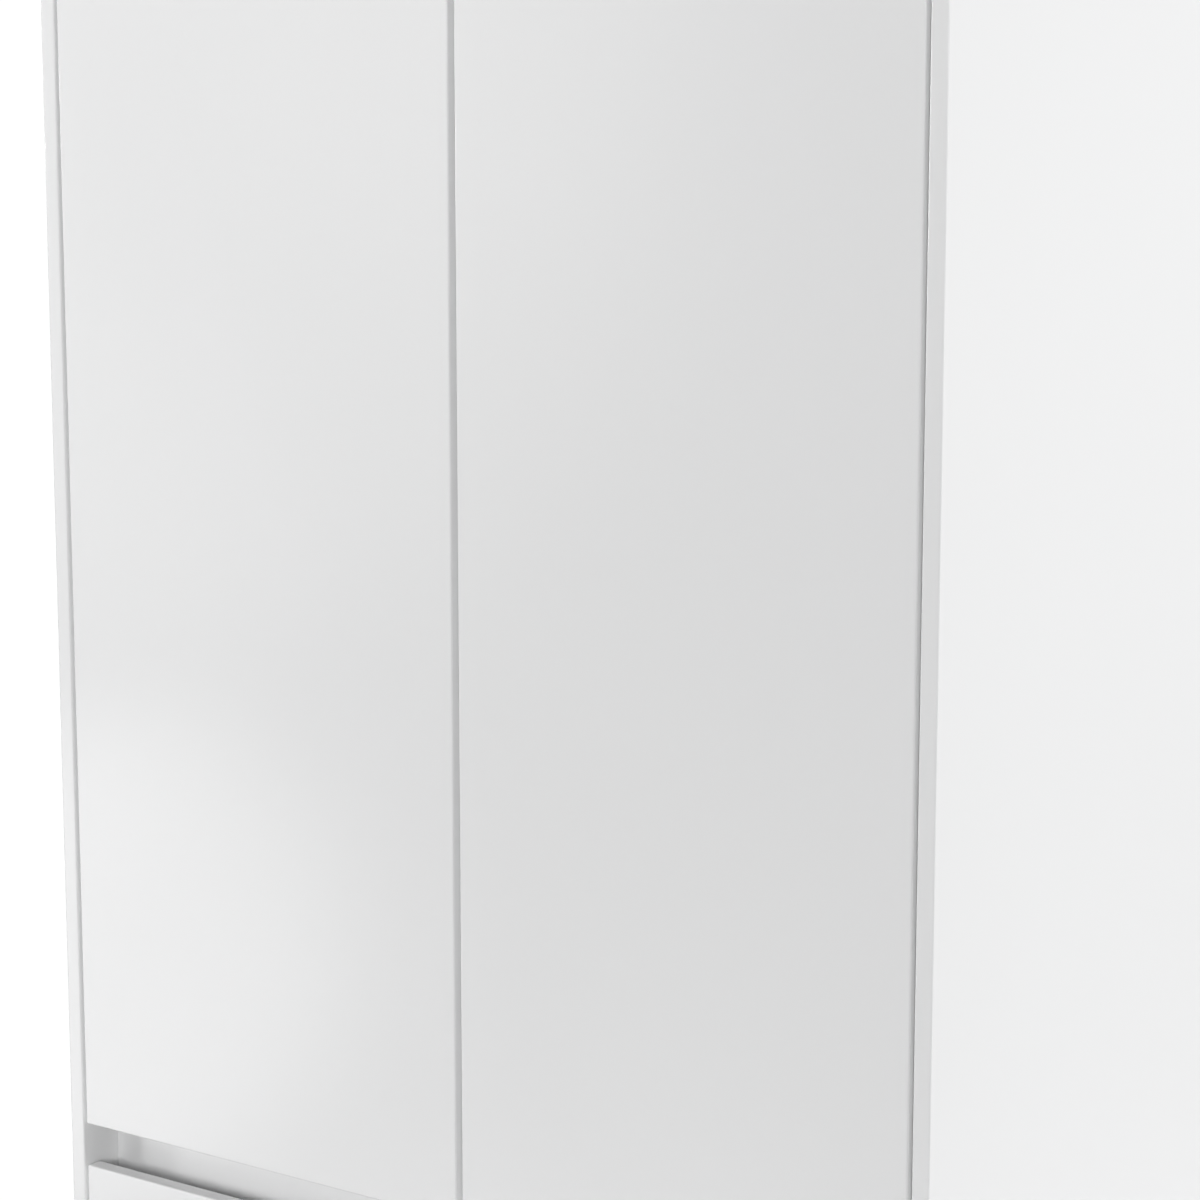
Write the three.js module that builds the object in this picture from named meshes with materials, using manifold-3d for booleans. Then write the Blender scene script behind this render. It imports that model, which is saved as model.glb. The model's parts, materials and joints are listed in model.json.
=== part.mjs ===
// Wardrobe with two inset doors over one wide inset drawer, without handles. A finger recess lies between
// the doors and the drawer. Millimetres, +Z up, front towards -Y, origin on the floor under the middle.

import * as THREE from 'three';
import { mergeVertices } from 'three/addons/utils/BufferGeometryUtils.js';
import Module from 'manifold-3d';

const wasm = await Module();
wasm.setup();

// ---- Driving dimensions ----

// Overall
const width = 1030;
const depth = 580;
const height = 1980;

// Board thicknesses
const carcassBoard = 18;
const doorBoard = 18;
const drawerFrontBoard = 18;
const drawerBoard = 15;
const drawerBottomBoard = 4;
const backBoard = 3;

// Base
const glideHeight = 6;
const glideRadius = 8;
const glideChamfer = 1.6;
const glideInset = 45; // from the panel's front and rear edges
const plinthHeight = 60; // underside of the base panel above the floor
const frontPlinthRecess = 40;
const rearPlinthRecess = 40;

// Back
const backInset = 16; // pocket behind the back panels, for the wall brackets
const backGrooveDepth = 7;
const stripWeb = 1.2; // plastic joint strip between the two back panels
const stripFlange = 1;
const stripHeight = 16;
const lowerBackTop = 1000; // height of the joint between the back panels

// Front openings
const drawerFrontHeight = 308;
const gripHeight = 45; // recess between the drawer front and the doors
const gripDepth = 49; // front plane to the face of the grip rail
const gripRailDrop = 90; // how far the grip rail hangs below the doors' lower edge

// Inside
const hatSpace = 226; // least height above the hat shelf
const holePitch = 32; // between two shelf pin holes, so the step of every shelf's height
const shelfCount = 4; // right bay, the highest level with the hat shelf
const railRadius = 12.5;
const railWall = 1.2;
const railDrop = 62; // underside of the hat shelf to the rail's axis
const railCupRadius = 22;
const railCupPlate = 3;
const railCupLength = 16;
const railCollarWall = 2.5;

// Hinges: one-pin cup hinges with a cranked arm
const hingeInset = 100; // door end to the first hinge
const hingeCount = 3;
const cupBoreRadius = 17.5;
const cupBoreDepth = 11.5;
const cupEdgeWood = 5; // left between the bore and the door's edge
const cupWall = 1.2;
const cupFlangeLip = 1.5; // past the bore sideways
const cupFlangeEar = 8.5; // past the bore above and below, for the screws
const cupFlangeThickness = 1.6;
const cupFlangeCorner = 8;
const pinDepth = 13; // front plane to the pin's axis
const pinOffset = 0.5; // the pin's axis past the cup's centre, away from the side panel
const pinRadius = 2;
const eyeRadius = 4.2;
const armThickness = 4;
const armHeight = 12;
const armHeelRoom = 7; // door's heel to the crank's middle line
const armLegAngle = 50; // degrees, from the door's plane towards the inside
const armLegFillet = 7;
const hingePlateThickness = 2;
const hingePlateStart = 44; // front plane to the plate's front edge
const hingePlateDepth = 26;
const hingePlateHeight = 60;

// Drawer and runners
const drawerRise = 28; // drawer front's lower edge to the drawer box
const drawerBottomRise = 10; // lower edge of the drawer sides to the bottom panel
const drawerGrooveDepth = 5;
const runnerRise = 55; // drawer box's lower edge to the runner's middle
const runnerHeight = 45;
const runnerSteel = 1.2;
const runnerThickness = 12.6;
const runnerEndGap = 6; // runner's front end behind the drawer front
const middleRunnerShort = 30; // how much shorter the middle member is

// Wall brackets
const wallBracketWidth = 60;
const wallBracketLeg = 50;
const wallBracketSteel = 2;
const wallBracketHole = 3;
const wallBracketHoleDrop = 30; // top of the angle to the hole
const wallBracketInset = 150; // side panel's inner face to the bracket's middle

// Door buffers
const bufferRadius = 2.6;
const bufferThickness = 3;
const bufferInset = 150; // door end to the buffer

// ---- Clearances ----

const seatGap = 0.2; // between pieces that are fastened face to face
const doorSideGap = 4;
const doorMiddleGap = 7;
const doorTopGap = 4;
const drawerSideGap = 4;
const drawerBaseGap = 4;
const drawerHeadroom = 15; // under the grip rail
const drawerRearClear = 43;
const grooveClear = 0.3;
const backClear = 2; // inner boards to the back panels
const shelfSideClear = 0.5;
const shelfFrontClear = 5; // behind the hinge plates
const cupClear = 0.3;
const pinClear = 0.1;
const runnerSideClear = 0.2;
const runnerNestClear = 1.8; // room for the balls between two members
const railClear = 0.3;
const cutPast = 1; // how far a cutting body runs past the face it opens

// ---- Derived places ----

const frontY = -depth / 2;
const rearY = depth / 2;
const innerX = width / 2 - carcassBoard;
const topUnder = height - carcassBoard;
const baseTop = plinthHeight + carcassBoard;
const backFaceY = rearY - backInset - backBoard;
const insideRearY = backFaceY - backClear;

const drawerFrontBottom = baseTop + drawerBaseGap;
const drawerFrontTop = drawerFrontBottom + drawerFrontHeight;
const doorBottom = drawerFrontTop + gripHeight;
const doorTop = topUnder - doorTopGap;
const doorBackY = frontY + doorBoard;
const gripFaceY = frontY + gripDepth;
const gripBackY = gripFaceY + carcassBoard;
const gripRailBottom = doorBottom - gripRailDrop;
const bayFloorTop = doorBottom + carcassBoard;

const partitionFrontY = doorBackY + bufferThickness + 2 * seatGap;
const shelfFrontY = frontY + hingePlateStart + hingePlateDepth + shelfFrontClear;
const shelfSteps = Math.floor((topUnder - hatSpace - bayFloorTop) / holePitch);
const hatShelfTop = bayFloorTop + shelfSteps * holePitch;
const railZ = hatShelfTop - carcassBoard - railDrop;
const railY = (doorBackY + insideRearY) / 2;

const cupEdgeDistance = cupBoreRadius + cupEdgeWood; // door edge to the cup's centre
const cupInward = doorSideGap + cupEdgeDistance; // side panel's inner face to the cup's centre
const cupFlangeWidth = 2 * (cupBoreRadius + cupFlangeLip);
const cupFlangeHeight = 2 * (cupBoreRadius + cupFlangeEar);
const pinInward = cupInward + pinOffset;
const armReach = cupEdgeDistance + pinOffset + armHeelRoom; // radius of the crank round the pin
const runnerSpace = runnerThickness + 2 * runnerSideClear;
const drawerOuterX = innerX - runnerSpace;
const drawerBackY = backFaceY - drawerRearClear;
const drawerBoxBottom = drawerFrontBottom + drawerRise;
const drawerBoxTop = gripRailBottom - drawerHeadroom;
const drawerSideFrontY = frontY + drawerFrontBoard + seatGap;
const drawerPanelZ = drawerBoxBottom + drawerBottomRise;

const sides = [
  { word: 'left', sign: -1 },
  { word: 'right', sign: 1 },
];

// ---- Finishes ----

const finishes = {
  whiteLacquer: { color: 0xe9eaec, roughness: 0.36, metalness: 0 },
  whiteBack: { color: 0xdcdddf, roughness: 0.6, metalness: 0 },
  chrome: { color: 0xd8dadc, roughness: 0.12, metalness: 1 },
  nickel: { color: 0xb9bbbd, roughness: 0.3, metalness: 1 },
  zincSteel: { color: 0xa6a9ac, roughness: 0.42, metalness: 1 },
  whitePlastic: { color: 0xe4e4e2, roughness: 0.5, metalness: 0 },
  clearRubber: { color: 0xd5d6d4, roughness: 0.7, metalness: 0 },
};

function finish(name) {
  return new THREE.MeshStandardMaterial(finishes[name]);
}

// ---- Solids and meshes ----

const wardrobe = new THREE.Group();
wardrobe.name = 'wardrobe';

function place(name, geometry, finishName, position = [0, 0, 0]) {
  const mesh = new THREE.Mesh(geometry, finish(finishName));
  mesh.name = name;
  mesh.position.set(...position);
  wardrobe.add(mesh);
  return mesh;
}

function board(name, [x0, x1], [y0, y1], [z0, z1], finishName = 'whiteLacquer') {
  const geometry = new THREE.BoxGeometry(Math.abs(x1 - x0), y1 - y0, z1 - z0);
  return place(name, geometry, finishName, [(x0 + x1) / 2, (y0 + y1) / 2, (z0 + z1) / 2]);
}

function outline(points) {
  return new THREE.Shape(points.map(([x, y]) => new THREE.Vector2(x, y)));
}

// A section extruded straight up from z0 to z1.
function upright(section, z0, z1, curveSegments = 8) {
  const geometry = new THREE.ExtrudeGeometry(section, { depth: z1 - z0, bevelEnabled: false, curveSegments });
  return geometry.translate(0, 0, z0);
}

// A section drawn in (y, z), extruded from x0 to x1.
function alongX(section, x0, x1) {
  const turn = new THREE.Matrix4().makeBasis(
    new THREE.Vector3(0, 1, 0),
    new THREE.Vector3(0, 0, 1),
    new THREE.Vector3(1, 0, 0),
  );
  return upright(section, 0, x1 - x0).applyMatrix4(turn).translate(x0, 0, 0);
}

// A section drawn in (z, x), extruded from y0 to y1.
function alongY(section, y0, y1, curveSegments = 8) {
  const turn = new THREE.Matrix4().makeBasis(
    new THREE.Vector3(0, 0, 1),
    new THREE.Vector3(1, 0, 0),
    new THREE.Vector3(0, 1, 0),
  );
  return upright(section, 0, y1 - y0, curveSegments).applyMatrix4(turn).translate(0, y0, 0);
}

function solid(geometry) {
  const bare = geometry.clone();
  bare.deleteAttribute('normal');
  bare.deleteAttribute('uv');
  const merged = mergeVertices(bare, 1e-4);
  const mesh = new wasm.Mesh({
    numProp: 3,
    vertProperties: new Float32Array(merged.attributes.position.array),
    triVerts: new Uint32Array(merged.index.array),
  });
  return new wasm.Manifold(mesh);
}

function geometryOf(manifold) {
  const mesh = manifold.getMesh();
  const geometry = new THREE.BufferGeometry();
  geometry.setAttribute('position', new THREE.BufferAttribute(new Float32Array(mesh.vertProperties), 3));
  geometry.setIndex(new THREE.BufferAttribute(new Uint32Array(mesh.triVerts), 1));
  geometry.computeVertexNormals();
  return geometry;
}

// A round bar along Y from y0 to y1.
function barY(radius, x, z, y0, y1, segments = 40) {
  return new THREE.CylinderGeometry(radius, radius, y1 - y0, segments).translate(x, (y0 + y1) / 2, z);
}

// A round bar along Z, centred on z.
function barZ(radius, x, y, z, length, segments = 28) {
  return new THREE.CylinderGeometry(radius, radius, length, segments).rotateX(Math.PI / 2).translate(x, y, z);
}

function block([x0, x1], [y0, y1], [z0, z1]) {
  const geometry = new THREE.BoxGeometry(Math.abs(x1 - x0), y1 - y0, z1 - z0);
  return geometry.translate((x0 + x1) / 2, (y0 + y1) / 2, (z0 + z1) / 2);
}

// ---- Carcass ----

const grooveFrontY = backFaceY - grooveClear;
const grooveRearY = backFaceY + backBoard + grooveClear;

function makeSidePanel({ word, sign }) {
  const outerX = sign * (innerX + carcassBoard);
  const faceX = sign * innerX;
  const grooveX = sign * (innerX + backGrooveDepth);
  const section = outline([
    [outerX, frontY],
    [faceX, frontY],
    [faceX, grooveFrontY],
    [grooveX, grooveFrontY],
    [grooveX, grooveRearY],
    [faceX, grooveRearY],
    [faceX, rearY],
    [outerX, rearY],
  ]);
  place(`side_panel_${word}`, upright(section, glideHeight, height), 'whiteLacquer');
}

// A board across the carcass with a groove for the back panel, in its lower face for grooveSide -1.
function makeGroovedBoard(name, z0, z1, grooveSide) {
  const faceZ = grooveSide < 0 ? z0 : z1;
  const farZ = grooveSide < 0 ? z1 : z0;
  const grooveZ = faceZ - grooveSide * backGrooveDepth;
  const section = outline([
    [frontY, farZ],
    [frontY, faceZ],
    [grooveFrontY, faceZ],
    [grooveFrontY, grooveZ],
    [grooveRearY, grooveZ],
    [grooveRearY, faceZ],
    [rearY, faceZ],
    [rearY, farZ],
  ]);
  place(name, alongX(section, -innerX + seatGap, innerX - seatGap), 'whiteLacquer');
}

function makeGlides() {
  const middleX = innerX + carcassBoard / 2;
  const places = { front: frontY + glideInset, rear: rearY - glideInset };
  const rim = glideRadius - glideChamfer;
  for (const { word, sign } of sides) {
    for (const [end, y] of Object.entries(places)) {
      const profile = [
        [0, 0],
        [rim, 0],
        [glideRadius, glideChamfer],
        [glideRadius, glideHeight - seatGap],
        [0, glideHeight - seatGap],
      ].map(([r, z]) => new THREE.Vector2(r, z));
      const geometry = new THREE.LatheGeometry(profile, 24).rotateX(Math.PI / 2);
      place(`glide_${end}_${word}`, geometry, 'whitePlastic', [sign * middleX, y, 0]);
    }
  }
}

function makeBack() {
  const reach = innerX + backGrooveDepth - grooveClear;
  const bottomZ = baseTop - backGrooveDepth + grooveClear;
  const topZ = topUnder + backGrooveDepth - grooveClear;
  const halfWeb = stripWeb / 2;
  const across = [-reach, reach];
  const through = [backFaceY, backFaceY + backBoard];
  board('back_panel_lower', across, through, [bottomZ, lowerBackTop - halfWeb - grooveClear], 'whiteBack');
  board('back_panel_upper', across, through, [lowerBackTop + halfWeb + grooveClear, topZ], 'whiteBack');

  const slotFront = backFaceY - grooveClear;
  const slotRear = backFaceY + backBoard + grooveClear;
  const low = lowerBackTop - stripHeight / 2;
  const high = lowerBackTop + stripHeight / 2;
  const section = outline([
    [slotFront - stripFlange, low],
    [slotFront, low],
    [slotFront, lowerBackTop - halfWeb],
    [slotRear, lowerBackTop - halfWeb],
    [slotRear, low],
    [slotRear + stripFlange, low],
    [slotRear + stripFlange, high],
    [slotRear, high],
    [slotRear, lowerBackTop + halfWeb],
    [slotFront, lowerBackTop + halfWeb],
    [slotFront, high],
    [slotFront - stripFlange, high],
  ]);
  const stripReach = innerX - shelfSideClear;
  place('back_joint_strip', alongX(section, -stripReach, stripReach), 'whitePlastic');
}

function makeCarcass() {
  sides.forEach(makeSidePanel);
  makeGroovedBoard('top_panel', topUnder, height, -1);
  makeGroovedBoard('base_panel', plinthHeight, baseTop, 1);

  const across = [-innerX + seatGap, innerX - seatGap];
  const plinthZ = [glideHeight, plinthHeight - seatGap];
  const frontPlinthY = frontY + frontPlinthRecess;
  const rearPlinthY = rearY - rearPlinthRecess;
  board('front_plinth', across, [frontPlinthY, frontPlinthY + carcassBoard], plinthZ);
  board('rear_plinth', across, [rearPlinthY - carcassBoard, rearPlinthY], plinthZ);

  board('grip_rail', across, [gripFaceY, gripBackY], [gripRailBottom, bayFloorTop]);
  board('bay_floor', across, [gripBackY + seatGap, insideRearY], [doorBottom, bayFloorTop]);
  const half = carcassBoard / 2;
  const partitionZ = [bayFloorTop + seatGap, topUnder - seatGap];
  board('centre_partition', [-half, half], [partitionFrontY, insideRearY], partitionZ);
  makeGlides();
  makeBack();
}

// ---- Fittings inside the bays ----

function makeShelves() {
  const bayInner = carcassBoard / 2 + shelfSideClear;
  const bayOuter = innerX - shelfSideClear;
  const through = [shelfFrontY, insideRearY];
  board('hat_shelf', [-bayOuter, -bayInner], through, [hatShelfTop - carcassBoard, hatShelfTop]);
  for (let i = 1; i <= shelfCount; i += 1) {
    const top = bayFloorTop + Math.round((shelfSteps * i) / shelfCount) * holePitch;
    board(`shelf_${i}`, [bayInner, bayOuter], through, [top - carcassBoard, top]);
  }
}

function makeHangingRail() {
  const leftX = -innerX + seatGap;
  const rightX = -carcassBoard / 2 - seatGap;
  const socket = railRadius + railClear;
  const collar = socket + railCollarWall;
  const end = railCupPlate + railClear;
  const cupProfile = [
    [0, 0],
    [railCupRadius, 0],
    [railCupRadius, railCupPlate],
    [collar, railCupPlate],
    [collar, railCupLength],
    [socket, railCupLength],
    [socket, railCupPlate],
    [0, railCupPlate],
  ].map(([r, x]) => new THREE.Vector2(r, x));
  // The lathe's axis is Y; a turn about Z points it along +X or -X.
  const left = new THREE.LatheGeometry(cupProfile, 32).rotateZ(-Math.PI / 2);
  const right = new THREE.LatheGeometry(cupProfile, 32).rotateZ(Math.PI / 2);
  place('rail_socket_left', left, 'chrome', [leftX, railY, railZ]);
  place('rail_socket_right', right, 'chrome', [rightX, railY, railZ]);

  const length = rightX - leftX - 2 * end;
  const tubeProfile = [
    [railRadius - railWall, 0],
    [railRadius, 0],
    [railRadius, length],
    [railRadius - railWall, length],
    [railRadius - railWall, 0],
  ].map(([r, x]) => new THREE.Vector2(r, x));
  const tube = new THREE.LatheGeometry(tubeProfile, 32).rotateZ(-Math.PI / 2);
  place('hanging_rail', tube, 'chrome', [leftX + end, railY, railZ]);
}

// Steel angles in the pocket behind the back panels, hung from the top panel.
function makeWallBrackets() {
  const rear = rearY;
  const front = rearY - backInset + grooveClear + seatGap;
  const top = topUnder - seatGap;
  const section = outline([
    [front, top],
    [front, top - wallBracketSteel],
    [rear - wallBracketSteel, top - wallBracketSteel],
    [rear - wallBracketSteel, top - wallBracketLeg],
    [rear, top - wallBracketLeg],
    [rear, top],
  ]);
  const half = wallBracketWidth / 2;
  const holeZ = top - wallBracketHoleDrop;
  for (const { word, sign } of sides) {
    const middle = sign * (innerX - wallBracketInset);
    const angle = solid(alongX(section, middle - half, middle + half));
    const hole = solid(barY(wallBracketHole, middle, holeZ, rear - 2 * wallBracketSteel, rear + cutPast, 24));
    place(`wall_bracket_${word}`, geometryOf(angle.subtract(hole)), 'zincSteel');
  }
}

// ---- Doors ----

function hingeHeights() {
  const low = doorBottom + hingeInset;
  const high = doorTop - hingeInset;
  return Array.from({ length: hingeCount }, (_, i) => low + ((high - low) * i) / (hingeCount - 1));
}

function makeDoor({ word, sign }) {
  const edgeX = sign * (innerX - doorSideGap);
  const meetX = (sign * doorMiddleGap) / 2;
  const cupX = sign * (innerX - cupInward);
  let leaf = solid(block([edgeX, meetX], [frontY, doorBackY], [doorBottom, doorTop]));
  for (const z of hingeHeights()) {
    const bore = barY(cupBoreRadius, cupX, z, doorBackY - cupBoreDepth, doorBackY + cutPast);
    leaf = leaf.subtract(solid(bore));
  }
  place(`door_${word}`, geometryOf(leaf), 'whiteLacquer');
}

// A rectangle with round corners, drawn in (z, x) about the origin.
function roundedPlate(halfZ, halfX, corner) {
  const shape = new THREE.Shape();
  const quarter = Math.PI / 2;
  shape.absarc(halfZ - corner, halfX - corner, corner, 0, quarter);
  shape.absarc(-halfZ + corner, halfX - corner, corner, quarter, 2 * quarter);
  shape.absarc(-halfZ + corner, -halfX + corner, corner, 2 * quarter, 3 * quarter);
  shape.absarc(halfZ - corner, -halfX + corner, corner, 3 * quarter, 4 * quarter);
  return shape;
}

// The cup pressed into the door, with its flange and the hinge pin across it.
function makeHingeCup({ word, sign }, label, z) {
  const cupX = sign * (innerX - cupInward);
  const pinX = sign * (innerX - pinInward);
  const outer = cupBoreRadius - cupClear;
  const inner = outer - cupWall;
  const floorY = doorBackY - cupBoreDepth + cupClear;
  const flangeY = doorBackY + seatGap;
  const faceY = flangeY + cupFlangeThickness;
  const plate = roundedPlate(cupFlangeHeight / 2, cupFlangeWidth / 2, cupFlangeCorner);
  const flange = alongY(plate, flangeY, faceY, 5).translate(cupX, 0, z);
  const pinLength = 2 * inner + cupWall;
  const cup = solid(barY(outer, cupX, z, floorY, faceY - cupFlangeThickness / 2))
    .add(solid(flange))
    .subtract(solid(barY(inner, cupX, z, floorY + cupWall, faceY + cutPast)))
    .add(solid(barZ(pinRadius, pinX, frontY + pinDepth, z, pinLength)));
  place(`hinge_cup_${word}_${label}`, geometryOf(cup), 'nickel');
}

// A bent strip of even thickness along a line of points.
function strip(line, thickness) {
  const half = thickness / 2;
  const offset = (side) => line.map((point, i) => {
    const before = line[Math.max(i - 1, 0)];
    const after = line[Math.min(i + 1, line.length - 1)];
    const along = after.clone().sub(before).normalize();
    return new THREE.Vector2(point.x - along.y * half * side, point.y + along.x * half * side);
  });
  return new THREE.Shape([...offset(1), ...offset(-1).reverse()]);
}

// The arm turns on the pin, leaves the cup, cranks round the door's heel and ends in its plate.
function makeHingeArm({ word, sign }, label, z) {
  const inwardX = (inward) => sign * (innerX - inward);
  const pinX = inwardX(pinInward);
  const pinY = frontY + pinDepth;
  const plateMiddleY = frontY + hingePlateStart + hingePlateDepth / 2;
  const polar = (degrees, reach) => {
    const angle = THREE.MathUtils.degToRad(degrees);
    return [pinX - sign * reach * Math.cos(angle), pinY + reach * Math.sin(angle)];
  };
  const filletAngle = THREE.MathUtils.radToDeg(armLegFillet / armReach);
  const path = new THREE.Path();
  path.moveTo(pinX, pinY);
  path.lineTo(...polar(armLegAngle, armReach - armLegFillet));
  path.quadraticCurveTo(...polar(armLegAngle, armReach), ...polar(armLegAngle + filletAngle, armReach));
  const arcSteps = 4;
  const arcStart = armLegAngle + filletAngle;
  for (let i = 1; i <= arcSteps; i += 1) {
    path.lineTo(...polar(arcStart + ((90 - arcStart) * i) / arcSteps, armReach));
  }
  path.lineTo(inwardX(seatGap + hingePlateThickness / 2), plateMiddleY);
  const bent = upright(strip(path.getPoints(5), armThickness), z - armHeight / 2, z + armHeight / 2);
  const plate = block(
    [inwardX(seatGap), inwardX(seatGap + hingePlateThickness)],
    [frontY + hingePlateStart, frontY + hingePlateStart + hingePlateDepth],
    [z - hingePlateHeight / 2, z + hingePlateHeight / 2],
  );
  const keepIn = block(
    [inwardX(seatGap), inwardX(2 * armReach + pinInward)],
    [frontY, frontY + 2 * hingePlateStart],
    [z - armHeight, z + armHeight],
  );
  const arm = solid(bent)
    .add(solid(barZ(eyeRadius, pinX, pinY, z, armHeight)))
    .intersect(solid(keepIn))
    .add(solid(plate))
    .subtract(solid(barZ(pinRadius + pinClear, pinX, pinY, z, 2 * armHeight)));
  place(`hinge_arm_${word}_${label}`, geometryOf(arm), 'nickel');
}

function makeDoors() {
  const labels = hingeHeights().map((_, i) => String(i + 1));
  for (const side of sides) {
    makeDoor(side);
    hingeHeights().forEach((z, i) => {
      makeHingeCup(side, labels[i], z);
      makeHingeArm(side, labels[i], z);
    });
    const bufferX = side.sign * (doorMiddleGap / 2 + bufferRadius + seatGap);
    const ends = { lower: doorBottom + bufferInset, upper: doorTop - bufferInset };
    for (const [end, z] of Object.entries(ends)) {
      const y0 = doorBackY + seatGap;
      const geometry = barY(bufferRadius, 0, 0, y0, y0 + bufferThickness, 20);
      place(`door_buffer_${side.word}_${end}`, geometry, 'clearRubber', [bufferX, 0, z]);
    }
  }
}

// ---- Drawer ----

function makeDrawerSide({ word, sign }) {
  const outer = sign * drawerOuterX;
  const inner = sign * (drawerOuterX - drawerBoard);
  const groove = inner + sign * drawerGrooveDepth;
  const low = drawerPanelZ - grooveClear;
  const high = drawerPanelZ + drawerBottomBoard + grooveClear;
  const section = outline([
    [drawerBoxBottom, outer],
    [drawerBoxBottom, inner],
    [low, inner],
    [low, groove],
    [high, groove],
    [high, inner],
    [drawerBoxTop, inner],
    [drawerBoxTop, outer],
  ]);
  place(`drawer_side_${word}`, alongY(section, drawerSideFrontY, drawerBackY), 'whiteLacquer');
}

// Three nested steel channels. Inward distances run from the side panel's inner face.
function makeRunner({ word, sign }) {
  const middleZ = drawerBoxBottom + runnerRise;
  const channel = (webInward, lipInward, halfHeight) => {
    const toX = (inward) => sign * (innerX - inward);
    const inset = webInward < lipInward ? runnerSteel : -runnerSteel;
    return outline([
      [middleZ - halfHeight, toX(webInward)],
      [middleZ - halfHeight, toX(lipInward)],
      [middleZ - halfHeight + runnerSteel, toX(lipInward)],
      [middleZ - halfHeight + runnerSteel, toX(webInward + inset)],
      [middleZ + halfHeight - runnerSteel, toX(webInward + inset)],
      [middleZ + halfHeight - runnerSteel, toX(lipInward)],
      [middleZ + halfHeight, toX(lipInward)],
      [middleZ + halfHeight, toX(webInward)],
    ]);
  };
  const step = runnerSteel + runnerNestClear;
  const cabinetHalf = runnerHeight / 2;
  const panelSide = runnerSideClear;
  const drawerSide = runnerSideClear + runnerThickness;
  const y0 = drawerSideFrontY + runnerEndGap;
  const y1 = drawerBackY;
  const cabinet = channel(panelSide, drawerSide - runnerSteel, cabinetHalf);
  const middle = channel(panelSide + step, drawerSide - runnerSteel, cabinetHalf - step);
  const drawer = channel(drawerSide, panelSide + 2 * step, cabinetHalf - 2 * step);
  place(`runner_cabinet_${word}`, alongY(cabinet, y0, y1), 'zincSteel');
  place(`runner_middle_${word}`, alongY(middle, y0, y1 - middleRunnerShort), 'zincSteel');
  place(`runner_drawer_${word}`, alongY(drawer, y0, y1), 'zincSteel');
}

function makeDrawer() {
  const frontX = innerX - drawerSideGap;
  const frontZ = [drawerFrontBottom, drawerFrontTop];
  board('drawer_front', [-frontX, frontX], [frontY, frontY + drawerFrontBoard], frontZ);
  sides.forEach(makeDrawerSide);
  const insideX = drawerOuterX - drawerBoard;
  const panelTop = drawerPanelZ + drawerBottomBoard;
  const backX = insideX - seatGap;
  const backZ = [panelTop + seatGap, drawerBoxTop];
  board('drawer_back', [-backX, backX], [drawerBackY - drawerBoard, drawerBackY], backZ);
  const panelX = insideX + drawerGrooveDepth - grooveClear;
  const panelY = [drawerSideFrontY, drawerBackY];
  board('drawer_bottom', [-panelX, panelX], panelY, [drawerPanelZ, panelTop], 'whiteBack');
  sides.forEach(makeRunner);
}

makeCarcass();
makeShelves();
makeHangingRail();
makeWallBrackets();
makeDoors();
makeDrawer();

export default wardrobe;
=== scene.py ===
import json
import math

import bmesh
import bpy
from mathutils import Matrix, Vector


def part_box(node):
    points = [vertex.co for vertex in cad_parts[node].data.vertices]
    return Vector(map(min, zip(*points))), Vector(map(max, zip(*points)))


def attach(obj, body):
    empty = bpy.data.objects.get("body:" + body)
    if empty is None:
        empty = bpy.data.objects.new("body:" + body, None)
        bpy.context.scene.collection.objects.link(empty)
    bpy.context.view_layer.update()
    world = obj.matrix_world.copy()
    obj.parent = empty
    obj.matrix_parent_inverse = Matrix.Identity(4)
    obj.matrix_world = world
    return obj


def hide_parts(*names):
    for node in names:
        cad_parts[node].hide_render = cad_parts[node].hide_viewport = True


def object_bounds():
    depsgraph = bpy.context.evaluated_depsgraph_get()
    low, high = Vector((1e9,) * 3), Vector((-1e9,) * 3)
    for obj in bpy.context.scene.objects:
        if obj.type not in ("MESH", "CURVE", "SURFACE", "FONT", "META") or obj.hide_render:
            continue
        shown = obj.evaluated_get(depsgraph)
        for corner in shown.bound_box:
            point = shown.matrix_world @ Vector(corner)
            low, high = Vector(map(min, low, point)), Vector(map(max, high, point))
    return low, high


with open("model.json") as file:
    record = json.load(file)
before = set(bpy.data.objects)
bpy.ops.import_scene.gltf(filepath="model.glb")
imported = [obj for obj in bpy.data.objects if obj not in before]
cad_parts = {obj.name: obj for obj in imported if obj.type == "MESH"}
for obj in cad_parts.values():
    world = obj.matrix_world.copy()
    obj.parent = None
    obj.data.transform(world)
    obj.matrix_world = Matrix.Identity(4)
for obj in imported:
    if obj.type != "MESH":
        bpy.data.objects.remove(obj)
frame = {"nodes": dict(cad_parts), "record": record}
nodes = frame["nodes"]
record = frame["record"]
scene = bpy.context.scene
cadLow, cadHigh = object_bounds()
bodyOf = {node: body for body, members in record["behaviour"]["bodies"].items() for node in members}
slotOf = {part["node"]: part["material_slot"] for part in record["subparts"]}
print("frame loaded:", len(nodes), "nodes")

frontY = cadLow.y
rearY = cadHigh.y
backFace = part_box("back_panel_lower")[0].y
doorLow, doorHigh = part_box("door_left")


# Camera, floor and light.
camera = {
    "lens": 100.7, "sensor": 36.0,  # millimetres
    "turn": 35.97, "down": 9.80,  # degrees
    "right": 1.902, "before": 2.392,  # metres from the middle of the front
    "aboveDoors": 1.129,  # above the doors' lower edge
    "nearest": 0.05, "farthest": 60,  # metres that it sees between
}


def makeCamera():
    data = bpy.data.cameras.new("camera")
    data.lens = camera["lens"]
    data.sensor_width = camera["sensor"]
    data.clip_start = camera["nearest"]
    data.clip_end = camera["farthest"]
    eye = bpy.data.objects.new("camera", data)
    eye.location = (camera["right"], frontY - camera["before"], doorLow.z + camera["aboveDoors"])
    eye.rotation_euler = (math.radians(90 - camera["down"]), 0, math.radians(camera["turn"]))
    scene.collection.objects.link(eye)
    scene.camera = eye


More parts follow.
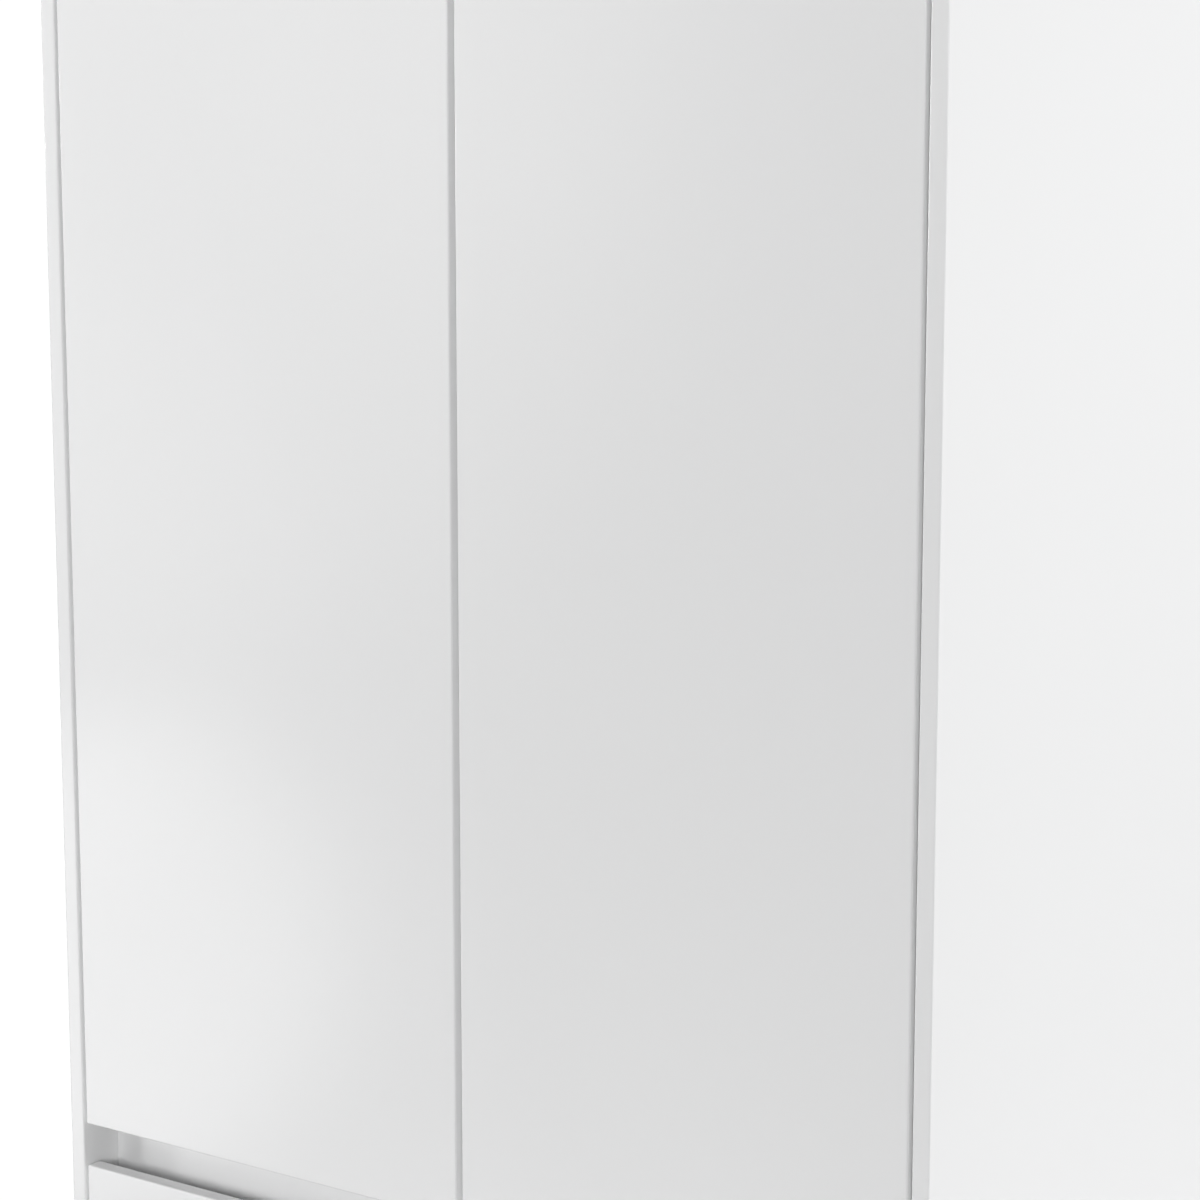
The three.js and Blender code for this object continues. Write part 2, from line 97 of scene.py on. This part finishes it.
studio = {
    "sky": 0.05,  # strength of the even white surroundings
    "backdrop": 1.05,  # how bright it looks behind the object
    "floorSize": 6.0, "floorTone": 0.85, "floorRoughness": 0.9,
    "fadeFrom": 0.72, "fadeTo": 1.2,  # metres from the middle, where the floor fades out
    "lamps": {  # place, what it faces, size in metres, power in watts
        "farRight": ((6.0, -8.6, 3.0), (0.0, frontY, 1.0), 3.0, 545),
        "farLeft": ((-6.2, -7.9, 1.4), (-0.1, frontY, 1.0), 1.5, 130),
        "rightSide": ((4.6, 1.6, 1.6), (0.5, 0.1, 1.0), 3.2, 180),
        "wideLeft": ((-4.2, -4.2, 1.4), (-0.2, frontY, 1.0), 3.0, 21),
        "rimLeft": ((-6.0, -3.4, 1.3), (-0.2, frontY, 1.0), 0.7, 70),
        "leftLow": ((-3.0, -2.4, 0.5), (-0.3, frontY, 0.8), 1.4, 3),
        "nearLeft": ((-1.5, -1.35, 0.22), (-0.45, frontY, 0.5), 0.7, 2.5),
        "lowFront": ((-0.2, -1.7, 0.06), (-0.2, frontY, 0.6), 1.3, 0.5),
        "topFront": ((-0.8, -1.8, 3.6), (-0.2, frontY, 0.4), 0.5, 18),
        "overhead": ((0.0, 0.7, 4.8), (0.0, 0.25, 0.0), 2.2, 95),
        "rear": ((-2.2, 5.4, 2.4), (0.0, rearY, 1.0), 3.0, 230),
    },
    "unreflected": ("farLeft", "rightSide", "overhead", "rear"),  # lamps that boards don't mirror
}


def makeLamp(name, place, target, size, power):
    data = bpy.data.lights.new(name, "AREA")
    data.shape = "DISK"
    data.size = size
    data.energy = power
    lamp = bpy.data.objects.new(name, data)
    lamp.location = place
    lamp.rotation_euler = (Vector(target) - Vector(place)).to_track_quat("-Z", "Y").to_euler()
    lamp.visible_camera = False
    lamp.visible_glossy = name not in studio["unreflected"]
    scene.collection.objects.link(lamp)


def makeStudio():
    world = bpy.data.worlds.new("studio")
    world.use_nodes = True
    tree = world.node_tree
    backdrop = tree.nodes["Background"]
    backdrop.inputs["Color"].default_value = (1, 1, 1, 1)
    backdrop.inputs["Strength"].default_value = studio["sky"]
    seen = tree.nodes.new("ShaderNodeBackground")  # what the camera itself sees behind the object
    seen.inputs["Color"].default_value = (1, 1, 1, 1)
    seen.inputs["Strength"].default_value = studio["backdrop"]
    ray = tree.nodes.new("ShaderNodeLightPath")
    blend = tree.nodes.new("ShaderNodeMixShader")
    tree.links.new(ray.outputs["Is Camera Ray"], blend.inputs["Fac"])
    tree.links.new(backdrop.outputs["Background"], blend.inputs[1])
    tree.links.new(seen.outputs["Background"], blend.inputs[2])
    tree.links.new(blend.outputs["Shader"], tree.nodes["World Output"].inputs["Surface"])
    scene.world = world
    scene.view_settings.view_transform = "Standard"

    half = studio["floorSize"] / 2
    mesh = bpy.data.meshes.new("floor")
    corners = [(-half, -half, 0), (half, -half, 0), (half, half, 0), (-half, half, 0)]
    mesh.from_pydata(corners, [], [(0, 1, 2, 3)])
    floor = bpy.data.objects.new("floor", mesh)
    scene.collection.objects.link(floor)
    tone = studio["floorTone"]
    paint = Finish("paleFloor", (tone, tone, tone), studio["floorRoughness"])
    away = paint.node("ShaderNodeVectorMath", {"operation": "LENGTH"}, {"Vector": paint.place}, out="Value")
    sockets = {"Value": away, "From Min": studio["fadeFrom"], "From Max": studio["fadeTo"]}
    paint.drive("Alpha", 1 - paint.node("ShaderNodeMapRange", {"interpolation_type": "SMOOTHSTEP"}, sockets))
    mesh.materials.append(paint.material)
    for name, (place, target, size, power) in studio["lamps"].items():
        makeLamp(name, place, target, size, power)


# Shader maths.
class Wire:
    def __init__(self, tree, socket):
        self.tree = tree
        self.socket = socket

    def maths(self, operation, *others):
        step = self.tree.nodes.new("ShaderNodeMath")
        step.operation = operation
        for slot, value in zip(step.inputs, others):
            if isinstance(value, Wire):
                self.tree.links.new(value.socket, slot)
            else:
                slot.default_value = value
        return Wire(self.tree, step.outputs[0])

    def __add__(self, other):
        return self.maths("ADD", self, other)

    def __radd__(self, other):
        return self.maths("ADD", other, self)

    def __sub__(self, other):
        return self.maths("SUBTRACT", self, other)

    def __rsub__(self, other):
        return self.maths("SUBTRACT", other, self)

    def __mul__(self, other):
        return self.maths("MULTIPLY", self, other)

    def __rmul__(self, other):
        return self.maths("MULTIPLY", other, self)

    def __gt__(self, other):
        return self.maths("GREATER_THAN", self, other)

    def __lt__(self, other):
        return self.maths("LESS_THAN", self, other)


class Finish:
    def __init__(self, name, colour, roughness, metallic=0.0):
        self.material = bpy.data.materials.new(name)
        self.material.use_nodes = True
        self.tree = self.material.node_tree
        self.surface = self.tree.nodes["Principled BSDF"]
        self.colour = (*colour, 1)
        self.surface.inputs["Base Color"].default_value = self.colour
        self.surface.inputs["Roughness"].default_value = roughness
        self.surface.inputs["Metallic"].default_value = metallic
        self.place = self.node("ShaderNodeTexCoord", out="Object")

    def node(self, kind, settings=None, sockets=None, out=0):
        made = self.tree.nodes.new(kind)
        for key, value in (settings or {}).items():
            setattr(made, key, value)
        for key, value in (sockets or {}).items():
            if isinstance(value, Wire):
                self.tree.links.new(value.socket, made.inputs[key])
            else:
                made.inputs[key].default_value = value
        return Wire(self.tree, made.outputs[out])

    def axis(self, letter):
        return self.node("ShaderNodeSeparateXYZ", sockets={"Vector": self.place}, out=letter)

    def noise(self, scale, detail, stretch=(1, 1, 1)):
        spot = self.place
        if stretch != (1, 1, 1):
            spot = self.node("ShaderNodeMapping", sockets={"Vector": self.place, "Scale": stretch})
        sockets = {"Vector": spot, "Scale": scale, "Detail": detail}
        return self.node("ShaderNodeTexNoise", sockets=sockets, out="Fac")

    def mix(self, amount, first, second):
        sockets = {0: amount, 6: first, 7: second}
        return self.node("ShaderNodeMix", {"data_type": "RGBA"}, sockets, out=2)

    def drive(self, socket, wire):
        self.tree.links.new(wire.socket, self.surface.inputs[socket])

    def bump(self, height, strength, distance):
        sockets = {"Height": height, "Strength": strength, "Distance": distance}
        self.drive("Normal", self.node("ShaderNodeBump", sockets=sockets, out="Normal"))


def shade(colour, factor):
    return tuple(min(1.0, part * factor) for part in colour[:3]) + (1,)


# Finishes.
lacquer = {
    "colour": (0.885, 0.887, 0.89), "roughness": 0.2, "roughnessDrift": 0.04, "ior": 1.54,
    "drift": 0.012,  # how far the white wanders over a board
    "driftScale": 1.7, "filmScale": 6.5,
    "peelScale": 520, "peelHeight": 0.00003, "peelStrength": 0.16,
}
chipboard = {
    "light": (0.52, 0.38, 0.23), "dark": (0.24, 0.15, 0.08), "chips": 340,
    "edgeSkin": 0.0006,  # how deep the bare rear edge reaches
    "addedRoughness": 0.5, "reliefOverPeel": 6,
}


def whiteLacquer(name="whiteLacquer", rawRear=False):
    finish = Finish(name, lacquer["colour"], lacquer["roughness"])
    broad = finish.noise(lacquer["driftScale"], 3)
    drift = lacquer["drift"]
    white = finish.mix(broad, shade(finish.colour, 1 - drift), shade(finish.colour, 1 + drift))
    film = finish.noise(lacquer["filmScale"], 4)
    gloss = lacquer["roughness"] + lacquer["roughnessDrift"] * (film - 0.5)
    peel = finish.noise(lacquer["peelScale"], 2)
    if rawRear:
        raw = finish.axis("Y") > rearY - chipboard["edgeSkin"]
        chips = finish.node(
            "ShaderNodeTexVoronoi", {"feature": "F1"},
            {"Vector": finish.place, "Scale": chipboard["chips"]}, out="Color")
        grain = finish.node("ShaderNodeSeparateColor", sockets={"Color": chips}, out="Red")
        wood = finish.mix(grain, (*chipboard["dark"], 1), (*chipboard["light"], 1))
        finish.drive("Base Color", finish.mix(raw, white, wood))
        finish.drive("Roughness", gloss + raw * chipboard["addedRoughness"])
        relief = peel * (1 - raw) + grain * raw * chipboard["reliefOverPeel"]
        finish.bump(relief, lacquer["peelStrength"], lacquer["peelHeight"])
    else:
        finish.drive("Base Color", white)
        finish.drive("Roughness", gloss)
        finish.bump(peel, lacquer["peelStrength"], lacquer["peelHeight"])
    finish.surface.inputs["IOR"].default_value = lacquer["ior"]
    return finish.material


hardboard = {
    "white": (0.74, 0.745, 0.75), "brown": (0.23, 0.135, 0.07), "roughness": 0.55, "addedRoughness": 0.3,
    "fibres": 420, "fibreStretch": (1, 1, 0.35), "cloud": 3.2,
    "darkFibre": 0.72, "lightFibre": 1.35, "lightPatch": 1.6, "patchShare": 0.4,
    "whiteDrift": 0.02, "screen": 560, "fibreRelief": 0.3, "strength": 0.25, "height": 0.0001,
    "rearSkin": 0.0015,  # depth of white on the back panels, from their front face
}


def whiteHardboard(name, rawFrom, axis):
    finish = Finish(name, hardboard["white"], hardboard["roughness"])
    fibres = finish.noise(hardboard["fibres"], 5, hardboard["fibreStretch"])
    cloud = finish.noise(hardboard["cloud"], 4)
    brown = (*hardboard["brown"], 1)
    raw = finish.axis("Y") > rawFrom if axis == "Y" else finish.axis("Z") < rawFrom
    rough = finish.mix(fibres, shade(brown, hardboard["darkFibre"]), shade(brown, hardboard["lightFibre"]))
    rough = finish.mix(cloud * hardboard["patchShare"], rough, shade(brown, hardboard["lightPatch"]))
    drift = hardboard["whiteDrift"]
    face = finish.mix(cloud, shade(finish.colour, 1 - drift), shade(finish.colour, 1 + drift))
    finish.drive("Base Color", finish.mix(raw, face, rough))
    finish.drive("Roughness", hardboard["roughness"] + raw * hardboard["addedRoughness"])
    screen = finish.node(
        "ShaderNodeTexVoronoi", {"feature": "F1"},
        {"Vector": finish.place, "Scale": hardboard["screen"]}, out="Distance")
    relief = screen * raw + fibres * hardboard["fibreRelief"]
    finish.bump(relief, hardboard["strength"], hardboard["height"])
    return finish.material


metals = {
    "chrome": {
        "colour": (0.83, 0.835, 0.845), "roughness": 0.07, "wander": 0.05, "streak": (1, 60, 60),
        "height": 0.000004,
    },
    "nickel": {
        "colour": (0.66, 0.655, 0.64), "roughness": 0.24, "wander": 0.12, "streak": (1, 1, 24),
        "height": 0.00001,
    },
    "zinc_steel": {
        "colour": (0.60, 0.615, 0.63), "roughness": 0.34, "wander": 0.16, "streak": (1, 0.12, 1),
        "height": 0.00002,
    },
}
plating = {"cloud": 55, "lines": 160, "dark": 0.93, "light": 1.05, "strength": 0.2}


def plated(name):
    look = metals[name]
    finish = Finish(name, look["colour"], look["roughness"], 1.0)
    cloud = finish.noise(plating["cloud"], 4)
    lines = finish.noise(plating["lines"], 3, look["streak"])
    dark, light = shade(finish.colour, plating["dark"]), shade(finish.colour, plating["light"])
    finish.drive("Base Color", finish.mix(cloud, dark, light))
    finish.drive("Roughness", look["roughness"] + look["wander"] * (lines - 0.5))
    finish.bump(lines, plating["strength"], look["height"])
    return finish.material


moulded = {
    "white_plastic": {"colour": (0.80, 0.80, 0.785), "roughness": 0.42, "grain": 900},
    "rubber": {"colour": (0.62, 0.62, 0.60), "roughness": 0.6, "grain": 1400},
}
moulding = {"cloud": 20, "dark": 0.96, "light": 1.03, "wander": 0.1, "strength": 0.25, "height": 0.00005}


def mouldedPlastic(name):
    look = moulded[name]
    finish = Finish(name, look["colour"], look["roughness"])
    grain = finish.noise(look["grain"], 2)
    cloud = finish.noise(moulding["cloud"], 2)
    dark, light = shade(finish.colour, moulding["dark"]), shade(finish.colour, moulding["light"])
    finish.drive("Base Color", finish.mix(cloud, dark, light))
    finish.drive("Roughness", look["roughness"] + moulding["wander"] * (grain - 0.5))
    finish.bump(grain, moulding["strength"], moulding["height"])
    return finish.material


drawerPanelMiddle = sum(corner.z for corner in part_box("drawer_bottom")) / 2
finishes = {
    "white_lacquer": whiteLacquer("whiteLacquer"),
    "raw_rear_lacquer": whiteLacquer("whiteLacquerRawRear", rawRear=True),
    "white_hardboard": whiteHardboard("whiteHardboard", backFace + hardboard["rearSkin"], "Y"),
    "drawer_hardboard": whiteHardboard("drawerHardboard", drawerPanelMiddle, "Z"),
    "chrome": plated("chrome"),
    "nickel": plated("nickel"),
    "zinc_steel": plated("zinc_steel"),
    "white_plastic": mouldedPlastic("white_plastic"),
    "rubber": mouldedPlastic("rubber"),
}
print("finishes made:", len(finishes))


# Mesh helpers.
meshing = {
    "weld": 0.000001, "onOuterFace": 0.00002,  # metres
    "flat": 0.5, "outerCorner": 60, "sharp": 50, "sharpSmallPart": 35,  # degrees
    "normalWeight": 80,
}


def newPiece(name, work, material, body, replaced=()):
    mesh = bpy.data.meshes.new(name)
    work.to_mesh(mesh)
    work.free()
    mesh.materials.append(material)
    piece = bpy.data.objects.new(name, mesh)
    scene.collection.objects.link(piece)
    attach(piece, body)
    if replaced:
        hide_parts(*replaced)
    return piece


def weightNormals(piece):
    modifier = piece.modifiers.new("evenNormals", "WEIGHTED_NORMAL")
    modifier.weight = meshing["normalWeight"]
    modifier.keep_sharp = True


def smoothBySharpness(work, degrees):
    limit = math.radians(degrees)
    for face in work.faces:
        face.smooth = True
    for edge in work.edges:
        edge.smooth = not (edge.is_manifold and edge.calc_face_angle() > limit)


def solidCopy(node):
    work = bmesh.new()
    work.from_mesh(nodes[node].data)
    bmesh.ops.remove_doubles(work, verts=work.verts, dist=meshing["weld"])
    flat = math.radians(meshing["flat"])
    bmesh.ops.dissolve_limit(work, angle_limit=flat, verts=work.verts, edges=work.edges)
    return work


def cutAway(work, cutter):
    pieces = []
    for name, part in (("kept", work), ("cutter", cutter)):
        mesh = bpy.data.meshes.new(name)
        part.to_mesh(mesh)
        part.free()
        pieces.append(bpy.data.objects.new(name, mesh))
        scene.collection.objects.link(pieces[-1])
    kept, tool = pieces
    modifier = kept.modifiers.new("cut", "BOOLEAN")
    modifier.operation = "DIFFERENCE"
    modifier.solver = "EXACT"
    modifier.object = tool
    graph = bpy.context.evaluated_depsgraph_get()
    result = bmesh.new()
    result.from_mesh(kept.evaluated_get(graph).to_mesh())
    for piece in pieces:
        bpy.data.objects.remove(piece)
    return result


def outerEdges(work):
    corners = [vertex.co for vertex in work.verts]
    low = [min(corner[axis] for corner in corners) for axis in range(3)]
    high = [max(corner[axis] for corner in corners) for axis in range(3)]
    chosen = []
    for edge in work.edges:
        middle = (edge.verts[0].co + edge.verts[1].co) / 2
        gaps = [min(abs(middle[axis] - low[axis]), abs(middle[axis] - high[axis])) for axis in range(3)]
        sidesMet = sum(gap < meshing["onOuterFace"] for gap in gaps)
        corner = math.radians(meshing["outerCorner"])
        if sidesMet >= 2 and edge.is_manifold and edge.calc_face_angle() > corner:
            chosen.append(edge)
    return chosen


crossRecess = {
    "armWidth": 0.5,  # sine of twice the angle that an arm takes up
    "waist": 0.38, "floor": 0.7,  # shares of the recess's reach
}


# A profile of (radius, height) pairs turned about +Z; driveSize sinks a cross slot in the top.
def turned(profile, segments=32, driveSize=0.0, driveDepth=0.0):
    work = bmesh.new()
    angles = [2 * math.pi * i / segments for i in range(segments)]
    rings = []

    def ring(radiusAt, height):
        rings.append([
            work.verts.new((radiusAt(a) * math.cos(a), radiusAt(a) * math.sin(a), height)) for a in angles])

    for radius, height in profile:
        ring(lambda a, radius=radius: radius, height)
    if driveSize:
        top = profile[-1][1]

        def cross(a):
            onArm = abs(math.sin(2 * a)) < crossRecess["armWidth"]
            return driveSize * (1.0 if onArm else crossRecess["waist"])

        ring(cross, top)
        ring(lambda a: cross(a) * crossRecess["floor"], top - driveDepth)
    for lower, upper in zip(rings, rings[1:]):
        for i in range(segments):
            j = (i + 1) % segments
            work.faces.new((lower[i], lower[j], upper[j], upper[i]))
    work.faces.new(list(reversed(rings[0])))
    work.faces.new(rings[-1])
    return work


# One mesh of equal small parts, each at a place with its top facing a direction.
def scatter(name, body, slotName, maker, places):
    work = bmesh.new()
    for place, direction in places:
        part = maker()
        turn = Vector((0, 0, 1)).rotation_difference(Vector(direction)).to_matrix().to_4x4()
        part.transform(Matrix.Translation(place) @ turn)
        mesh = bpy.data.meshes.new("part")
        part.to_mesh(mesh)
        part.free()
        work.from_mesh(mesh)
        bpy.data.meshes.remove(mesh)
    smoothBySharpness(work, meshing["sharpSmallPart"])
    return newPiece(name, work, finishes[slotName], body)


# Boards.
edges = {
    "door": 0.0019, "side_panel": 0.0019, "drawer_front": 0.0019, "top_panel": 0.0012, "base_panel": 0.0012,
    "grip_rail": 0.0008, "other": 0.0007, "rounding": 4,
    "rearReach": 0.001,  # a board this near the rear has its bare edge there
}
pinHoles = {"radius": 0.0025, "depth": 0.009, "pitch": 0.032, "inset": 0.045, "endMargin": 0.16, "sides": 14}


def edgeRadius(node):
    return next((radius for start, radius in edges.items() if node.startswith(start)), edges["other"])


def pinRows():
    low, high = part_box("shelf_1")
    return low.y + pinHoles["inset"], high.y - pinHoles["inset"]


def pinHeights():
    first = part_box("shelf_1")[0].z - pinHoles["radius"]
    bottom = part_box("bay_floor")[1].z + pinHoles["endMargin"]
    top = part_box("top_panel")[0].z - pinHoles["endMargin"]
    pitch = pinHoles["pitch"]
    steps = range(math.ceil((bottom - first) / pitch), math.floor((top - first) / pitch) + 1)
    return [first + step * pitch for step in steps]


def holeCutter(faces):
    work = bmesh.new()
    for x in faces:
        for y in pinRows():
            for z in pinHeights():
                turn = Matrix.Translation((x, y, z)) @ Matrix.Rotation(math.pi / 2, 4, "Y")
                bmesh.ops.create_cone(
                    work, cap_ends=True, segments=pinHoles["sides"], radius1=pinHoles["radius"],
                    radius2=pinHoles["radius"], depth=2 * pinHoles["depth"], matrix=turn)
    return work


def makeBoard(node):
    work = solidCopy(node)
    bmesh.ops.bevel(
        work, geom=outerEdges(work), offset=edgeRadius(node), segments=edges["rounding"],
        profile=0.5, affect="EDGES", clamp_overlap=True)
    low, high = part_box(node)
    drilled = {"side_panel_left": [high.x], "side_panel_right": [low.x], "centre_partition": [low.x, high.x]}
    if node in drilled:
        work = cutAway(work, holeCutter(drilled[node]))
    smoothBySharpness(work, meshing["sharp"])
    reachesRear = high.y > rearY - edges["rearReach"]
    material = finishes["raw_rear_lacquer" if reachesRear else "white_lacquer"]
    piece = newPiece(node + "_board", work, material, bodyOf[node], [node])
    weightNormals(piece)


def makeBoards():
    for node, slotName in slotOf.items():
        if slotName == "white_lacquer":
            makeBoard(node)


# Fittings carried over.
softening = {
    "nickel": 0.00035, "zinc_steel": 0.0003, "white_plastic": 0.0004, "rubber": 0.0004, "chrome": 0.0004,
}


def makeFitting(node, slotName):
    work = solidCopy(node)
    limit = math.radians(meshing["sharp"])
    sharp = [edge for edge in work.edges if edge.is_manifold and edge.calc_face_angle() > limit]
    bmesh.ops.bevel(
        work, geom=sharp, offset=softening[slotName], segments=2, profile=0.5,
        affect="EDGES", clamp_overlap=True)
    smoothBySharpness(work, meshing["sharp"])
    piece = newPiece(node + "_part", work, finishes[slotName], bodyOf[node], [node])
    weightNormals(piece)


def makeFittings():
    for node, slotName in slotOf.items():
        if slotName in softening:
            makeFitting(node, slotName)
        elif slotName == "white_hardboard":
            look = "drawer_hardboard" if node == "drawer_bottom" else "white_hardboard"
            nodes[node].material_slots[0].material = finishes[look]


# Screws, pins, caps and nails.
screwHeads = {
    "pan": [(0.0034, 0.0), (0.0035, 0.0006), (0.0031, 0.0014), (0.0020, 0.0019)],
    "flat": [(0.0039, 0.0), (0.0039, 0.0003), (0.0034, 0.0006), (0.0026, 0.0007)],
    "drive": 0.0019, "panDepth": 0.0009, "flatDepth": 0.0005,
}


def panScrew():
    return turned(screwHeads["pan"], 32, screwHeads["drive"], screwHeads["panDepth"])


def flatScrew():
    return turned(screwHeads["flat"], 32, screwHeads["drive"], screwHeads["flatDepth"])


hingeScrews = {"plateSpacing": 0.016, "plateThickness": 0.002, "fromPlateRear": 0.007, "cupSpacing": 0.0215}


def makeHingeScrews():
    rise = hingeScrews["plateSpacing"]
    for word, inward in (("left", 1), ("right", -1)):
        plateScrews = []
        cupScrews = []
        for number in (1, 2, 3):
            low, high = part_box(f"hinge_arm_{word}_{number}")
            middleZ = (low.z + high.z) / 2
            thickness = hingeScrews["plateThickness"]
            face = low.x + thickness if inward > 0 else high.x - thickness
            y = high.y - hingeScrews["fromPlateRear"]
            plateScrews += [((face, y, middleZ + side * rise), (inward, 0, 0)) for side in (-1, 1)]
            low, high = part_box(f"hinge_cup_{word}_{number}")
            for side in (-1, 1):
                spot = ((low.x + high.x) / 2, high.y, middleZ + side * hingeScrews["cupSpacing"])
                cupScrews.append((spot, (0, 1, 0)))
        scatter(f"hinge_plate_screws_{word}", "carcass", "nickel", panScrew, plateScrews)
        scatter(f"hinge_cup_screws_{word}", f"{word}_door", "nickel", flatScrew, cupScrews)


shelfPins = {
    "profile": [
        (0.0024, -0.008), (0.0024, 0.0), (0.0036, 0.0002), (0.0036, 0.0012), (0.0024, 0.0014),
        (0.0024, 0.0080), (0.0019, 0.0086),
    ],
    "sideGap": 0.0005,  # shelf's end to the board beside it
}


def makeShelfPins():
    places = []
    for node in nodes:
        if node != "hat_shelf" and not node.startswith("shelf_"):
            continue
        low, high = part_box(node)
        for y in pinRows():
            for x, inward in ((low.x - shelfPins["sideGap"], 1), (high.x + shelfPins["sideGap"], -1)):
                places.append(((x, y, low.z - pinHoles["radius"]), (inward, 0, 0)))
    scatter("shelf_pins", "carcass", "nickel", lambda: turned(shelfPins["profile"], 24), places)


camCaps = {
    "profile": [(0.0085, 0.0), (0.0085, 0.0005), (0.0080, 0.0010), (0.0040, 0.0011)],
    "fromSide": 0.034, "fromFront": 0.09, "fromBack": 0.09,
}


def makeCamCaps():
    places = []
    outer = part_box("side_panel_right")[0].x - camCaps["fromSide"]
    for x in (-outer, outer):
        for y in (frontY + camCaps["fromFront"], backFace - camCaps["fromBack"]):
            places.append(((x, y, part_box("top_panel")[0].z), (0, 0, -1)))
            places.append(((x, y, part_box("bay_floor")[1].z), (0, 0, 1)))
    scatter("cam_caps", "carcass", "white_plastic", lambda: turned(camCaps["profile"], 32), places)


bracketScrews = {"fromMiddle": 0.018, "steel": 0.002}


def makeBracketScrews():
    places = []
    for word in ("left", "right"):
        low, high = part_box(f"wall_bracket_{word}")
        for side in (-1, 1):
            x = (low.x + high.x) / 2 + side * bracketScrews["fromMiddle"]
            places.append(((x, (low.y + high.y) / 2, high.z - bracketScrews["steel"]), (0, 0, -1)))
    scatter("wall_bracket_screws", "carcass", "zinc_steel", panScrew, places)


backNails = {
    "profile": [(0.0024, 0.0), (0.0023, 0.0003), (0.0014, 0.0006)],
    "upCount": 11, "acrossCount": 9, "endGap": 0.06, "reach": 0.44,
}


def evenly(start, end, count):
    return [start + (end - start) * i / (count - 1) for i in range(count)]


def makeBackNails():
    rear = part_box("back_panel_upper")[1].y
    floorLow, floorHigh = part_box("bay_floor")
    gap = backNails["endGap"]
    heights = evenly(floorHigh.z + gap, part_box("top_panel")[0].z - gap, backNails["upCount"])
    places = [((0, rear, z), (0, 1, 0)) for z in heights]
    floorMiddle = (floorLow.z + floorHigh.z) / 2
    for x in evenly(-backNails["reach"], backNails["reach"], backNails["acrossCount"]):
        places.append(((x, rear, floorMiddle), (0, 1, 0)))
    scatter("back_nails", "carcass", "zinc_steel", lambda: turned(backNails["profile"], 16), places)


runnerScrews = {"steel": 0.0012, "fromFront": (0.037, 0.229, 0.453)}


def makeRunnerScrews():
    for word, inward in (("left", 1), ("right", -1)):
        low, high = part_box(f"runner_cabinet_{word}")
        x = low.x + runnerScrews["steel"] if inward > 0 else high.x - runnerScrews["steel"]
        z = (low.z + high.z) / 2
        places = [((x, low.y + at, z), (inward, 0, 0)) for at in runnerScrews["fromFront"]]
        scatter(f"runner_cabinet_screws_{word}", "carcass", "zinc_steel", flatScrew, places)


drawerScrews = {"fromRear": 0.0075, "fromEnd": 0.05}


def makeDrawerScrews():
    places = []
    for word, outward in (("left", -1), ("right", 1)):
        low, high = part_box(f"drawer_side_{word}")
        x = low.x if outward < 0 else high.x
        for z in (low.z + drawerScrews["fromEnd"], high.z - drawerScrews["fromEnd"]):
            places.append(((x, high.y - drawerScrews["fromRear"], z), (outward, 0, 0)))
    scatter("drawer_corner_screws", "drawer", "nickel", flatScrew, places)


railScrews = {"plate": 0.003, "fromMiddle": 0.0182}


def makeRailScrews():
    places = []
    for word, inward in (("left", 1), ("right", -1)):
        low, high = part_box(f"rail_socket_{word}")
        x = low.x + railScrews["plate"] if inward > 0 else high.x - railScrews["plate"]
        for side in (-1, 1):
            y = (low.y + high.y) / 2 + side * railScrews["fromMiddle"]
            places.append(((x, y, (low.z + high.z) / 2), (inward, 0, 0)))
    scatter("rail_socket_screws", "carcass", "chrome", flatScrew, places)


makeCamera()
makeStudio()
print("camera and studio made")
makeBoards()
print("boards made")
makeFittings()
print("fittings made")
makeHingeScrews()
makeShelfPins()
makeCamCaps()
makeBracketScrews()
makeBackNails()
makeRunnerScrews()
makeDrawerScrews()
makeRailScrews()
print("fasteners made")
